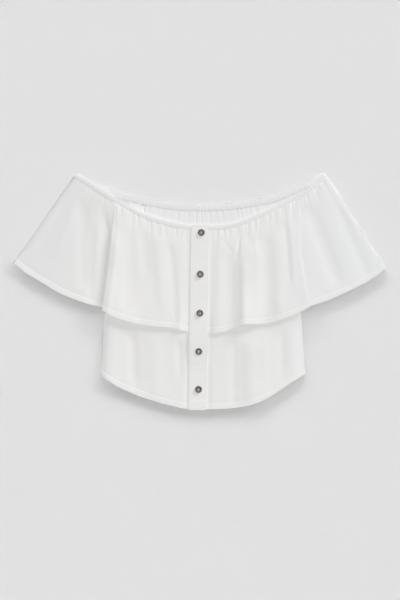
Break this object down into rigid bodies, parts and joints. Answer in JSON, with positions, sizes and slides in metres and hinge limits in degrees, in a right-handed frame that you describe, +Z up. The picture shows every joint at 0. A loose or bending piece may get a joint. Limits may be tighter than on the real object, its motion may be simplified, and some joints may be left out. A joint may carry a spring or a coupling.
{
  "type": "blouse",
  "caption": "Off-the-shoulder cropped blouse with a deep frill round the neck and arms and a button front, laid out flat on its back.",
  "frame": {"origin": "under the middle of the whole outline, on the surface that the blouse lies on", "axes": "+X towards the wearer's left arm, +Y towards the neck, +Z up from the surface, out of the front of the blouse"},
  "size_m": [0.7074, 0.451, 0.0129],
  "materials": {
    "cotton": "white plain-woven cotton, matt, softly creased",
    "button": "mottled brown horn-look resin, low gloss"
  },
  "bodies": {
    "root": {"frill_back": "cotton", "body_back": "cotton", "body_front_right": "cotton", "body_front_left": "cotton", "frill_sleeve_right": "cotton", "frill_sleeve_left": "cotton", "frill_front_right": "cotton", "frill_front_left": "cotton", "casing_front_right": "cotton", "casing_front_left": "cotton", "casing_back": "cotton", "placket_top": "cotton", "placket_under": "cotton", "button_1": "button", "button_2": "button", "button_3": "button", "button_4": "button", "button_5": "button"}
  },
  "joints": []
}
